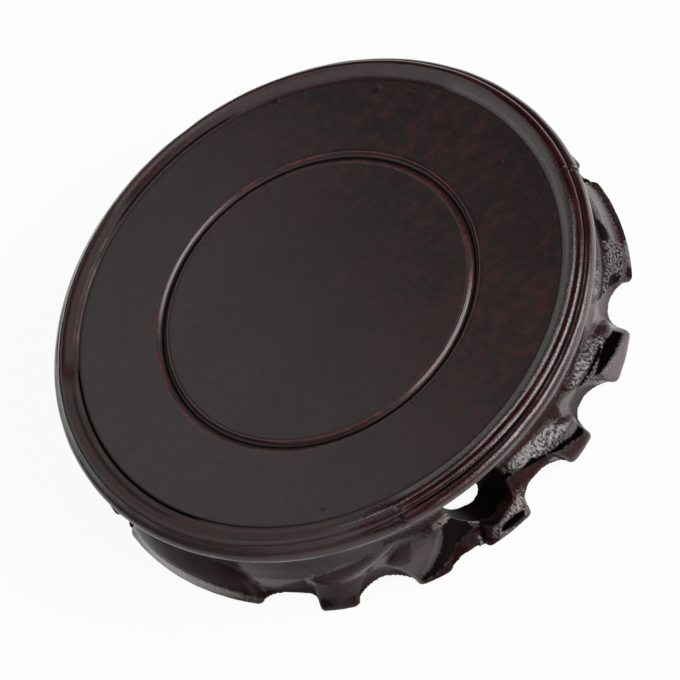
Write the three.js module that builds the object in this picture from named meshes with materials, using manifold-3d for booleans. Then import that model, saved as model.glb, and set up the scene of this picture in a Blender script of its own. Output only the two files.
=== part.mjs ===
// Round display stand: a turned top panel in a moulded rim, on a carved ring with scroll toes.
// Millimetres, +Z up, the toes stand on z = 0. Bearings are degrees clockwise from +X, seen from above.
import * as THREE from 'three';
import { mergeVertices } from 'three/addons/utils/BufferGeometryUtils.js';
import Module from 'manifold-3d';

const wasm = await Module();
wasm.setup();

// Overall sizes
const rimRadius = 75; // sharp lower arris of the rim
const ringHeight = 22.2; // carved ring, from the table to its top face
const boardThickness = 4.8; // rim underside to the flat field of the panel

// Clearances
const glueLine = 0.1; // between glued faces
const tenonFit = 0.3; // round dowels, splines and nails in their holes

// Rim moulding
const rimWidth = 7.6; // panel edge to the arris
const ledgeWidth = 7.2; // shelf that carries the panel edge
const crestRise = 1.3; // crest of the rim above the field
const crestInset = 3.4; // arris to the crest, inwards
const quirkInset = 1.5; // arris to the bottom of the groove between the beads
const quirkDrop = 0.5; // bottom of that groove below the field
const filletHeight = 0.5; // small flat band at the arris
const beadBulge = 0.9; // how far the lower bead is pulled past the arris
const rimJoints = [11.3, 102, 186, 269]; // bearings of the four end joints

// Loose splines in the rim joints
const splineLength = 9;
const splineWidth = 4;
const splineThickness = 1.4;
const splineInset = 4.2; // arris to the middle of the spline
const splineHeight = 2.4; // above the rim underside

// Top panel
const panelThickness = 2.9;
const grooveRadius = 43.6;
const grooveWidth = 2.6;
const grooveDepth = 0.9;

// Carved ring
const neckInset = 4.4; // arris to the top of the ring face, inwards
const ringWall = 9.1; // neck to the inner wall, at the top
const wallTaper = 4; // how far the inner wall leans outwards below
const taperShare = 0.59; // share of the ring height where that lean starts
const toeCorner = 0.9; // corners of a toe drawn in from the tip
const cornerSpan = 1.1; // degrees over which a corner is drawn in
const reachDrift = 0.8; // toes reach this much further towards +X, and less towards -X
const reachShare = 0.3; // share of the ring height up to which a longer reach is felt
const archPower = 2.3; // squareness of the arches
const legPower = 2.6; // squareness of a leg across its width
const ringJoints = [71, 161, 251, 341]; // bearings of the four end joints

// Face of the ring in front of the neck, by share of the ring height: down a leg, and in the hollow
// between two legs
const legFace = [
  [0, 5.9],
  [0.025, 6.6],
  [0.06, 6.6],
  [0.12, 5.7],
  [0.19, 4.8],
  [0.29, 4.4],
  [0.4, 4.5],
  [0.5, 4.2],
  [0.6, 2.7],
  [0.69, 0.8],
  [0.8, 0.1],
  [1, 0],
];
const hollowFace = [
  [0, 6.4],
  [0.07, 5.4],
  [0.135, 3.4],
  [0.2, 2.3],
  [0.29, 1.6],
  [0.4, 1.2],
  [0.54, 0.9],
  [0.69, 0.4],
  [0.8, 0.1],
  [1, 0],
];

// Legs over half a turn, by the bearings of their two borders at the toe, the waist and the head.
// Each has its reach beyond the leg face, and the arch that follows it: its rise, and where its top
// lies between the two toes.
const legLevels = [0.07, 0.34, 0.59]; // toe, waist and head as shares of the ring height
const halfTurn = [
  { borders: [[1.5, 27.5], [3, 31.5], [12, 37.5]], reach: 0, rise: 5.3, top: 0.6 },
  { borders: [[38.7, 50.2], [38.9, 53.3], [45, 58]], reach: -0.2, rise: 5.4, top: 0.6 },
  { borders: [[61.7, 68.9], [61.3, 71], [64.5, 79]], reach: -0.3, rise: 4.4, top: 0.52 },
  { borders: [[80.9, 91.6], [81, 89.5], [80.5, 88.5]], reach: 0.5, rise: 1.8, top: 0.45 },
  { borders: [[99.3, 106.8], [93, 111.5], [93.5, 103]], reach: 0.8, rise: 3.9, top: 0.5 },
  { borders: [[118.8, 127], [114, 128], [105, 112]], reach: 1.3, rise: 3.5, top: 0.3 },
  { borders: [[139.5, 176.5], [141.5, 176.5], [147, 174]], reach: -0.2, rise: 2.2, top: 0.5 },
];

// Pierced eye between the two scroll toes: bearing and share of the ring height of the points on its
// outline, anticlockwise, in the face of the ring and in its inner wall
const eyeFrontReach = 1.9; // neck to the front outline, outwards
const eyeFront = [
  [88.6, 0.13],
  [93.0, 0.44],
  [94.4, 0.743],
  [91.2, 0.92],
  [83.4, 0.92],
  [80.4, 0.72],
  [80.8, 0.43],
  [83.6, 0.235],
];
const eyeBackInset = 3; // inner wall to the back outline, outwards
const eyeBack = [
  [89.4, 0.165],
  [94.2, 0.28],
  [95.6, 0.66],
  [92.0, 0.92],
  [86.6, 0.92],
  [84.9, 0.72],
  [84.8, 0.43],
  [86.2, 0.24],
];
const eyeOverrun = 1; // how far the cut runs on past both outlines, as a share of their distance

// Oval hollow in the face of the short scroll toe below the eye
const scrollBearing = 85.6;
const scrollShare = 0.11; // share of the ring height to its middle
const scrollReach = 6.9; // neck to its middle, outwards
const scrollDepth = 1.5;
const scrollLength = 7; // along the ring
const scrollRise = 2.6; // upwards

// Dowels in the ring joints
const dowelDiameter = 4;
const dowelLength = 14;
const dowelInset = 3.2; // neck to the dowel axis
const dowelHeight = 13.4;

// Brads that nail the panel and the rim ledge down to the ring
const bradCount = 6;
const bradEdge = 2.8; // panel edge to the brads
const bradLength = 12;
const bradDiameter = 1.2;
const bradHead = 2.2;
const bradHeadHeight = 0.6;
const bradSunk = 0.5; // head below the field

// Levels and radii that follow
const rimBottom = ringHeight + glueLine;
const fieldLevel = rimBottom + boardThickness;
const panelBottom = fieldLevel - panelThickness;
const ledgeTop = panelBottom - glueLine;
const panelEdge = rimRadius - rimWidth;
const ledgeRadius = panelEdge - ledgeWidth;
const neckRadius = rimRadius - neckInset;
const innerRadius = neckRadius - ringWall;
const taperHeight = ringHeight * taperShare;
const bradRadius = panelEdge - bradEdge;
const period = 180;

const rad = THREE.MathUtils.degToRad;
const lerp = THREE.MathUtils.lerp;

function at(radius, bearing, z) {
  return new THREE.Vector3(radius * Math.cos(rad(bearing)), -radius * Math.sin(rad(bearing)), z);
}

// Straight lines through a table of pairs
function along(table, x) {
  const i = Math.max(0, table.findLastIndex((pair, k) => pair[0] <= x && k < table.length - 1));
  const [x0, y0] = table[i];
  const [x1, y1] = table[i + 1];
  return lerp(y0, y1, THREE.MathUtils.clamp((x - x0) / (x1 - x0), 0, 1));
}

function skin(rings, index) {
  const positions = rings.flat().flatMap((p) => [p.x, p.y, p.z]);
  const geometry = new THREE.BufferGeometry();
  geometry.setAttribute('position', new THREE.Float32BufferAttribute(positions, 3));
  geometry.setIndex(index);
  return geometry;
}

// Triangles between neighbouring rings of points, and from the last ring to the first in a closed hoop
function weave(rings, hoop) {
  const count = rings[0].length;
  const index = [];
  for (let i = 0; i < rings.length - (hoop ? 0 : 1); i += 1) {
    const here = i * count;
    const next = ((i + 1) % rings.length) * count;
    for (let j = 0; j < count; j += 1) {
      const k = (j + 1) % count;
      index.push(here + j, here + k, next + j);
      index.push(here + k, next + k, next + j);
    }
  }
  return index;
}

// A body through rings of points, closed at its ends by the flat outlines of the first and last ring
function loft(rings, firstOutline, lastOutline) {
  const count = rings[0].length;
  const index = weave(rings, false);
  for (const [a, b, c] of THREE.ShapeUtils.triangulateShape(firstOutline, [])) index.push(c, b, a);
  const base = (rings.length - 1) * count;
  for (const [a, b, c] of THREE.ShapeUtils.triangulateShape(lastOutline, [])) {
    index.push(base + a, base + b, base + c);
  }
  return skin(rings, index);
}

// A ring sector whose cross-section, an anticlockwise list of (radius, z), may change with the bearing
function sector(sectionAt, bearings) {
  const rings = bearings.map((bearing) => sectionAt(bearing).map((p) => at(p.x, bearing, p.y)));
  return loft(rings, sectionAt(bearings[0]), sectionAt(bearings.at(-1)));
}

function toSolid(geometry) {
  const bare = geometry.clone();
  bare.deleteAttribute('normal');
  bare.deleteAttribute('uv');
  const merged = mergeVertices(bare, 1e-4);
  const vertProperties = new Float32Array(merged.attributes.position.array);
  const triVerts = new Uint32Array(merged.index.array);
  return new wasm.Manifold(new wasm.Mesh({ numProp: 3, vertProperties, triVerts }));
}

function toGeometry(solid) {
  const mesh = solid.getMesh();
  const geometry = new THREE.BufferGeometry();
  geometry.setAttribute('position', new THREE.BufferAttribute(mesh.vertProperties, 3));
  geometry.setIndex(new THREE.BufferAttribute(mesh.triVerts, 1));
  geometry.computeVertexNormals();
  return geometry;
}

function cut(geometry, tools) {
  return toGeometry(tools.reduce((solid, tool) => solid.subtract(toSolid(tool)), toSolid(geometry)));
}

// A box or cylinder laid along the tangent at a joint
function acrossJoint(geometry, radius, bearing, z) {
  geometry.rotateZ(-rad(bearing));
  const centre = at(radius, bearing, z);
  geometry.translate(centre.x, centre.y, centre.z);
  return geometry;
}

function spline(bearing, allowance) {
  const size = [splineWidth + allowance, splineLength + allowance, splineThickness + allowance];
  const tongue = new THREE.BoxGeometry(...size);
  return acrossJoint(tongue, rimRadius - splineInset, bearing, rimBottom + splineHeight);
}

function dowel(bearing, allowance) {
  const radius = (dowelDiameter + allowance) / 2;
  const pin = new THREE.CylinderGeometry(radius, radius, dowelLength + allowance, 16);
  return acrossJoint(pin, neckRadius - dowelInset, bearing, dowelHeight);
}

// A brad is a shank and a flat head in one lathe profile
function brad(bearing, allowance, above) {
  const top = fieldLevel - bradSunk;
  const shank = (bradDiameter + allowance) / 2;
  const head = (bradHead + allowance) / 2;
  const profile = [
    [0, top - bradLength - allowance / 2],
    [shank, top - bradLength - allowance / 2],
    [shank, top - bradHeadHeight - allowance / 2],
    [head, top - bradHeadHeight - allowance / 2],
    [head, top + above],
    [0, top + above],
  ].map(([x, y]) => new THREE.Vector2(x, y));
  const geometry = new THREE.LatheGeometry(profile, 12).rotateX(Math.PI / 2);
  const centre = at(bradRadius, bearing, 0);
  return geometry.translate(centre.x, centre.y, 0);
}

const bradBearings = Array.from({ length: bradCount }, (_, i) => (i * 360) / bradCount);
const bradHoles = () => bradBearings.map((bearing) => brad(bearing, tenonFit, bradSunk * 2));

// Rim cross-section: ledge, undercut arris, lower bead, groove, upper bead, crest and cove
function rimSection() {
  const path = new THREE.Path();
  const arrisLevel = rimBottom + filletHeight;
  const crest = rimRadius - crestInset;
  path.moveTo(ledgeRadius, rimBottom);
  path.lineTo(rimRadius - 2 * filletHeight, rimBottom);
  path.lineTo(rimRadius, arrisLevel);
  path.lineTo(rimRadius, arrisLevel + filletHeight / 2);
  path.bezierCurveTo(
    rimRadius + beadBulge, lerp(arrisLevel, fieldLevel, 0.25),
    rimRadius + beadBulge / 2, lerp(arrisLevel, fieldLevel, 0.85),
    rimRadius - quirkInset, fieldLevel - quirkDrop,
  );
  path.quadraticCurveTo(rimRadius - quirkInset, fieldLevel + crestRise, crest, fieldLevel + crestRise);
  path.quadraticCurveTo(lerp(crest, panelEdge, 0.45), fieldLevel, panelEdge, fieldLevel);
  path.lineTo(panelEdge, ledgeTop);
  path.lineTo(ledgeRadius, ledgeTop);
  return path.getPoints(5);
}

function span(from, to, step) {
  const count = Math.max(1, Math.ceil((to - from) / step));
  return Array.from({ length: count + 1 }, (_, i) => lerp(from, to, i / count));
}

// Half of a glue line, as an angle at a radius
function glueAngle(radius) {
  return THREE.MathUtils.radToDeg(glueLine / 2 / radius);
}

function rimSegment(i) {
  const margin = glueAngle(panelEdge);
  const from = rimJoints[i];
  const to = rimJoints[(i + 1) % rimJoints.length] + (i + 1 === rimJoints.length ? 360 : 0);
  const body = sector(rimSection, span(from + margin, to - margin, 4));
  return cut(body, [spline(from, tenonFit), spline(to, tenonFit), ...bradHoles()]);
}

// Panel: a disc with a shallow round groove turned in its face
function panel() {
  const profile = new THREE.Path();
  profile.moveTo(0, panelBottom);
  profile.lineTo(panelEdge - glueLine, panelBottom);
  profile.lineTo(panelEdge - glueLine, fieldLevel);
  profile.lineTo(grooveRadius + grooveWidth / 2, fieldLevel);
  profile.quadraticCurveTo(
    grooveRadius + grooveWidth / 4, fieldLevel - grooveDepth,
    grooveRadius, fieldLevel - grooveDepth,
  );
  profile.quadraticCurveTo(
    grooveRadius - grooveWidth / 4, fieldLevel - grooveDepth,
    grooveRadius - grooveWidth / 2, fieldLevel,
  );
  profile.lineTo(0, fieldLevel);
  const disc = new THREE.LatheGeometry(profile.getPoints(3), 96).rotateX(Math.PI / 2);
  return cut(disc, bradHoles());
}

const legs = [0, period].flatMap((turn) => halfTurn.map((leg) => ({
  ...leg,
  borders: leg.borders.map((pair) => pair.map((bearing) => bearing + turn)),
})));

function nextLeg(i) {
  const leg = legs[(i + 1) % legs.length];
  const turn = i + 1 < legs.length ? 0 : 360;
  return { ...leg, borders: leg.borders.map((pair) => pair.map((bearing) => bearing + turn)) };
}

// Columns of the ring face across a leg and the arch that follows it. Each has its bearings at the three
// levels, its share of the leg face, its reach, and the height of the ring's lower edge.
function columnsOf(leg, i) {
  const next = nextLeg(i);
  const [from, to] = leg.borders[0];
  const corner = cornerSpan / (to - from);
  const across = [0, ...span(corner, 1 - corner, 3.4 / (to - from)), 1];
  const onLeg = across.map((s) => ({
    bearings: leg.borders.map(([first, last]) => lerp(first, last, s)),
    share: (1 - Math.abs(2 * s - 1) ** legPower) ** (1 / legPower),
    reach: leg.reach - (s % 1 === 0 ? toeCorner : 0),
    edge: 0,
  }));
  const overArch = [0.04, 0.12, 0.28, 0.5, 0.72, 0.88, 0.96].map((t) => {
    const s = t ** (Math.log(0.5) / Math.log(leg.top));
    return {
      bearings: leg.borders.map((pair, level) => lerp(pair[1], next.borders[level][0], t)),
      share: 0,
      reach: lerp(leg.reach, next.reach, t),
      edge: leg.rise * (1 - Math.abs(2 * s - 1) ** archPower) ** (1 / archPower),
    };
  });
  return [...onLeg, ...overArch];
}

function pointOf(column, radius, z) {
  const bearing = along(legLevels.map((level, i) => [level, column.bearings[i]]), z / ringHeight);
  return at(radius, bearing, z);
}

// Radius of the ring face on a column
function faceRadius(column, z) {
  const h = z / ringHeight;
  const reach = column.reach + reachDrift * Math.cos(rad(column.bearings[0]));
  const face = lerp(along(hollowFace, h), along(legFace, h), column.share);
  return neckRadius + face + reach * Math.max(0, 1 - h / reachShare);
}

function columnSection(column) {
  const lean = wallTaper * (1 - column.edge / taperHeight);
  return [
    ...legFace.map(([share]) => {
      const z = lerp(column.edge, ringHeight, share);
      return pointOf(column, faceRadius(column, z), z);
    }),
    pointOf(column, innerRadius, ringHeight),
    pointOf(column, innerRadius, taperHeight),
    pointOf(column, innerRadius + lean, column.edge),
  ];
}

function wholeRing() {
  const rings = legs.flatMap(columnsOf).map(columnSection);
  return skin(rings, weave(rings, true));
}

function eyeCurve(points) {
  const outline = points.map(([bearing, share]) => new THREE.Vector2(bearing, share * ringHeight));
  return new THREE.SplineCurve([...outline, outline[0]]).getPoints(24).slice(0, -1);
}

// The eye is cut straight from its front outline to its back outline, and runs on past both
function eyeCutter(turn) {
  const front = eyeCurve(eyeFront);
  const back = eyeCurve(eyeBack);
  const rings = [1 + eyeOverrun, -eyeOverrun].map((t) => front.map((p, i) => {
    const outer = at(neckRadius + eyeFrontReach, p.x + turn, p.y);
    const inner = at(innerRadius + eyeBackInset, back[i].x + turn, back[i].y);
    return inner.lerp(outer, t);
  }));
  return loft(rings, front, back);
}

function scrollCutter(turn) {
  const ball = new THREE.SphereGeometry(1, 14, 10).scale(scrollDepth, scrollLength / 2, scrollRise / 2);
  ball.rotateZ(-rad(scrollBearing + turn));
  const middle = at(neckRadius + scrollReach, scrollBearing + turn, scrollShare * ringHeight);
  return ball.translate(middle.x, middle.y, middle.z);
}

// The room that one segment of the ring fills, between two joints
function segmentRoom(from, to) {
  const outline = (bearing) => [
    new THREE.Vector2(innerRadius / 2, -glueLine),
    new THREE.Vector2(rimRadius * 1.5, -glueLine),
    new THREE.Vector2(rimRadius * 1.5, ringHeight + glueLine),
    new THREE.Vector2(innerRadius / 2, ringHeight + glueLine),
  ];
  return sector(outline, span(from, to, 15));
}

function ringSegment(i) {
  const margin = glueAngle(innerRadius);
  const from = ringJoints[i];
  const to = ringJoints[(i + 1) % ringJoints.length] + (i + 1 === ringJoints.length ? 360 : 0);
  const room = toSolid(segmentRoom(from + margin, to - margin));
  const body = toGeometry(toSolid(wholeRing()).intersect(room));
  const carving = [0, period].flatMap((turn) => [eyeCutter(turn), scrollCutter(turn)]);
  return cut(body, [dowel(from, tenonFit), dowel(to, tenonFit), ...bradHoles(), ...carving]);
}

function finish(color, roughness) {
  return new THREE.MeshStandardMaterial({ color, roughness, metalness: 0 });
}

const stand = new THREE.Group();

function add(name, geometry, material) {
  const mesh = new THREE.Mesh(geometry, material);
  mesh.name = name;
  stand.add(mesh);
}

add('top_panel', panel(), finish(0x2e1f20, 0.35));
rimJoints.forEach((bearing, i) => {
  add(`rim_segment_${i + 1}`, rimSegment(i), finish(0x3a1416, 0.3));
  add(`rim_spline_${i + 1}`, spline(bearing, 0), finish(0x8a5a38, 0.6));
});
ringJoints.forEach((bearing, i) => {
  add(`ring_segment_${i + 1}`, ringSegment(i), finish(0x32181a, 0.35));
  add(`ring_dowel_${i + 1}`, dowel(bearing, 0), finish(0xb08a5c, 0.6));
});
bradBearings.forEach((bearing, i) => {
  const steel = new THREE.MeshStandardMaterial({ color: 0x777470, roughness: 0.4, metalness: 1 });
  add(`panel_brad_${i + 1}`, brad(bearing, 0, 0), steel);
});

export default stand;
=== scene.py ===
import math
import bmesh
import bpy
import numpy as np
from mathutils import Matrix, Vector


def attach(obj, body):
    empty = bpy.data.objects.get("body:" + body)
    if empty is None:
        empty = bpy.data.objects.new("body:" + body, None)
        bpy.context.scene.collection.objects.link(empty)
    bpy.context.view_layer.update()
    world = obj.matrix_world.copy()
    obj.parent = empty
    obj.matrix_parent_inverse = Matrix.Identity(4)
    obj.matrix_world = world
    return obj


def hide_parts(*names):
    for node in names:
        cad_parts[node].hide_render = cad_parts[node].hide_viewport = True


# A round display stand: turned top board, moulded rim and carved ring, all under dark red-brown lacquer.
# Lengths are in millimetres until a mesh is made. Bearings are degrees clockwise from +X, seen from above.

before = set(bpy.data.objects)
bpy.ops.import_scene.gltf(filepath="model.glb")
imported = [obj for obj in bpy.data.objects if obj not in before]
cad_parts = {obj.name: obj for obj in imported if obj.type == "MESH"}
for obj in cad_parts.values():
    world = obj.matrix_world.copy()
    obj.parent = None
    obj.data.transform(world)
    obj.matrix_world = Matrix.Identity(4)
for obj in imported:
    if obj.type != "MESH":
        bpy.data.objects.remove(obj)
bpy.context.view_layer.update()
mm = 0.001
arcLength = 1.3     # millimetres for a degree of bearing, near the rim
print("frame loaded:", len(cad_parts), "nodes")


def linear(hexColour):
    # sRGB to linear: c / 12.92 below 0.04045, else ((c + 0.055) / 1.055) ** 2.4
    parts = [int(hexColour[i:i + 2], 16) / 255 for i in (1, 3, 5)]
    return [c / 12.92 if c <= 0.04045 else ((c + 0.055) / 1.055) ** 2.4 for c in parts] + [1.0]


# Sizes that the pieces share
stand = {
    "rimRadius": 75.0,      # sharp lower arris of the rim
    "ringHeight": 22.2,
    "rimBottom": 22.3,
    "fieldLevel": 27.1,     # flat top of the board
    "panelBottom": 24.2,
    "panelEdge": 67.4,
    "ledgeRadius": 60.2,
    "rimJoints": [11.3, 102.0, 186.0, 269.0],
    "ringJoints": [71.0, 161.0, 251.0, 341.0],
}

# Camera, fitted to the ellipses of the rim, the field and the groove
view = {
    "elevation": 51.5,      # degrees above the table
    "roll": 36.31,          # degrees the picture is turned
    "distance": 1425.0,     # to the middle of the field
    "sideways": -1.44,      # aim off the middle of the field, along the picture's axes before the roll
    "upwards": -12.08,
    "sensor": 36.0,         # width of the sensor
    "lens": 291.24,
}


def addObject(name, data):
    # new object at the origin
    thing = bpy.data.objects.new(name, data)
    bpy.context.scene.collection.objects.link(thing)
    return thing


def makeCamera():
    # The camera looks along the elevation at its aim, and the picture is turned by the roll.
    elevation, roll = math.radians(view["elevation"]), math.radians(view["roll"])
    right = Vector((1, 0, 0))
    up = Vector((0, math.sin(elevation), math.cos(elevation)))
    ahead = Vector((0, math.cos(elevation), -math.sin(elevation)))
    aim = Vector((0, 0, stand["fieldLevel"])) + view["sideways"] * right + view["upwards"] * up
    acrossPicture = math.cos(roll) * right - math.sin(roll) * up
    upPicture = math.sin(roll) * right + math.cos(roll) * up
    data = bpy.data.cameras.new("camera")
    data.sensor_width, data.lens = view["sensor"], view["lens"]
    data.clip_start, data.clip_end = 0.05, 20
    camera = addObject("camera", data)
    turn = Matrix((acrossPicture, upPicture, -ahead)).transposed().to_4x4()
    camera.matrix_world = Matrix.Translation((aim - view["distance"] * ahead) * mm) @ turn
    bpy.context.scene.camera = camera


makeCamera()
bpy.context.scene.view_settings.view_transform = "Standard"
print("camera placed")


# Mesh helpers

def flat(radius, bearing):
    # x = r cos b, y = -r sin b
    b = np.radians(bearing)
    return radius * np.cos(b), -radius * np.sin(b)


def polar(radius, bearing, z):
    # the same with the height added, in metres
    x, y = flat(radius, bearing)
    return np.stack([x, y, z + 0 * x], axis=-1) * mm


def gridFaces(rows, columns, wrapRows=False, wrapColumns=False):
    # one quad for each cell of a grid of points, closed round where it wraps
    i = np.arange(rows if wrapRows else rows - 1)[:, None]
    j = np.arange(columns if wrapColumns else columns - 1)[None, :]
    iNext, jNext = (i + 1) % rows, (j + 1) % columns
    corners = [i * columns + j, i * columns + jNext, iNext * columns + jNext, iNext * columns + j]
    return np.stack(corners, axis=-1).reshape(-1, 4)


def endCaps(rows, columns):
    # one face over the first row of a grid and one over the last
    return [tuple(range(columns)), tuple(range((rows - 1) * columns, rows * columns))]


def makeMesh(name, points, quads, extraFaces=()):
    # mesh of a grid of points in metres, its quads and any caps
    mesh = bpy.data.meshes.new(name)
    faces = [tuple(q) for q in quads.tolist()] + [tuple(f) for f in extraFaces]
    mesh.from_pydata(points.reshape(-1, 3).tolist(), [], faces)
    mesh.update()
    return mesh


def shadeSmooth(mesh):
    # smooth shading, with sharp edges where faces meet at more than 60 degrees
    mesh.polygons.foreach_set("use_smooth", [True] * len(mesh.polygons))
    mesh.set_sharp_from_angle(angle=math.radians(60))


def outward(mesh):
    # all faces turned outwards
    work = bmesh.new()
    work.from_mesh(mesh)
    bmesh.ops.recalc_face_normals(work, faces=work.faces)
    work.to_mesh(mesh)
    work.free()
    shadeSmooth(mesh)
    mesh.update()


def setMarks(mesh, **marks):
    # one value from 0 to 1 for each vertex and mark, which the materials read
    for name, values in marks.items():
        layer = mesh.attributes.new(name, "FLOAT", "POINT")
        layer.data.foreach_set("value", np.clip(np.asarray(values, np.float32).reshape(-1), 0, 1))


def addPiece(name, mesh, material, slotName, *nodes):
    # object on the root body that is drawn in place of the given nodes
    piece = addObject(name, mesh)
    mesh.materials.append(material)
    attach(piece, "root")
    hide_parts(*nodes)


def vectors(layer, count, key):
    # three numbers for each vertex, as rows of an array
    values = np.zeros(count * 3, np.float32)
    layer.foreach_get(key, values)
    return values.reshape(-1, 3).astype(float)


def smoothStep(low, high, x):
    # 0 at low, 1 at high, eased between as 3 t squared less 2 t cubed
    t = np.clip((x - low) / (high - low), 0, 1)
    return t * t * (3 - 2 * t)


def hump(x, middle, width):
    # bell curve, e to the minus square of the distance over the width: 1 in the middle, 0.37 at the width
    return np.exp(-((x - middle) / width) ** 2)


def band(x, middle, half):
    # 1 within the half width of the middle, with soft edges
    return smoothStep(1.3 * half, 0.7 * half, np.abs(x - middle))


def around(bearing, centre, turn=360):
    # difference of two bearings, within half a turn each way; a turn of 180 makes both halves count as one
    return (bearing - centre + turn / 2) % turn - turn / 2


def waves(seed, count, lowest, highest, *parameters):
    # smooth random field, about -1 to 1: a sum of seeded sine waves in random directions over the given
    # coordinates, with the lowest and highest pitch in radians for each unit
    draw = np.random.default_rng(seed)
    total = 0
    for _ in range(count):
        heading = draw.normal(size=len(parameters))
        pitch = heading / np.linalg.norm(heading) * draw.uniform(lowest, highest)
        total = total + np.sin(sum(k * q for k, q in zip(pitch, parameters)) + draw.uniform(0, 2 * math.pi))
    return total / math.sqrt(count)


def smoothCurve(table, z):
    # cubic through the table's points: each slope is that of its two neighbours, and the weights of the ends
    # run from 0 to 1 as 3 t squared less 2 t cubed
    zs, rs = np.array(table, float).T
    slope = np.gradient(rs, zs)
    k = np.clip(np.searchsorted(zs, z, side="right") - 1, 0, len(zs) - 2)
    h = zs[k + 1] - zs[k]
    t = np.clip((z - zs[k]) / h, 0, 1)
    return ((2 * t ** 3 - 3 * t ** 2 + 1) * rs[k] + (t ** 3 - 2 * t ** 2 + t) * h * slope[k]
            + (-2 * t ** 3 + 3 * t ** 2) * rs[k + 1] + (t ** 3 - t ** 2) * h * slope[k + 1])


# Materials

def addNode(tree, kind, inputs=None, **settings):
    # settings are the node's own properties; inputs are values, sockets, or nodes for their first output
    node = tree.nodes.new(kind)
    for key, value in settings.items():
        setattr(node, key, value)
    for key, value in (inputs or {}).items():
        if isinstance(value, bpy.types.Node):
            value = value.outputs[0]
        if isinstance(value, bpy.types.NodeSocket):
            tree.links.new(value, node.inputs[key])
        else:
            node.inputs[key].default_value = value
    return node


def newMaterial(name):
    # material with nothing but its output
    material = bpy.data.materials.new(name)
    material.use_nodes = True
    tree = material.node_tree
    for node in list(tree.nodes):
        if node.type != "OUTPUT_MATERIAL":
            tree.nodes.remove(node)
    return material, tree, tree.nodes["Material Output"]


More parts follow.
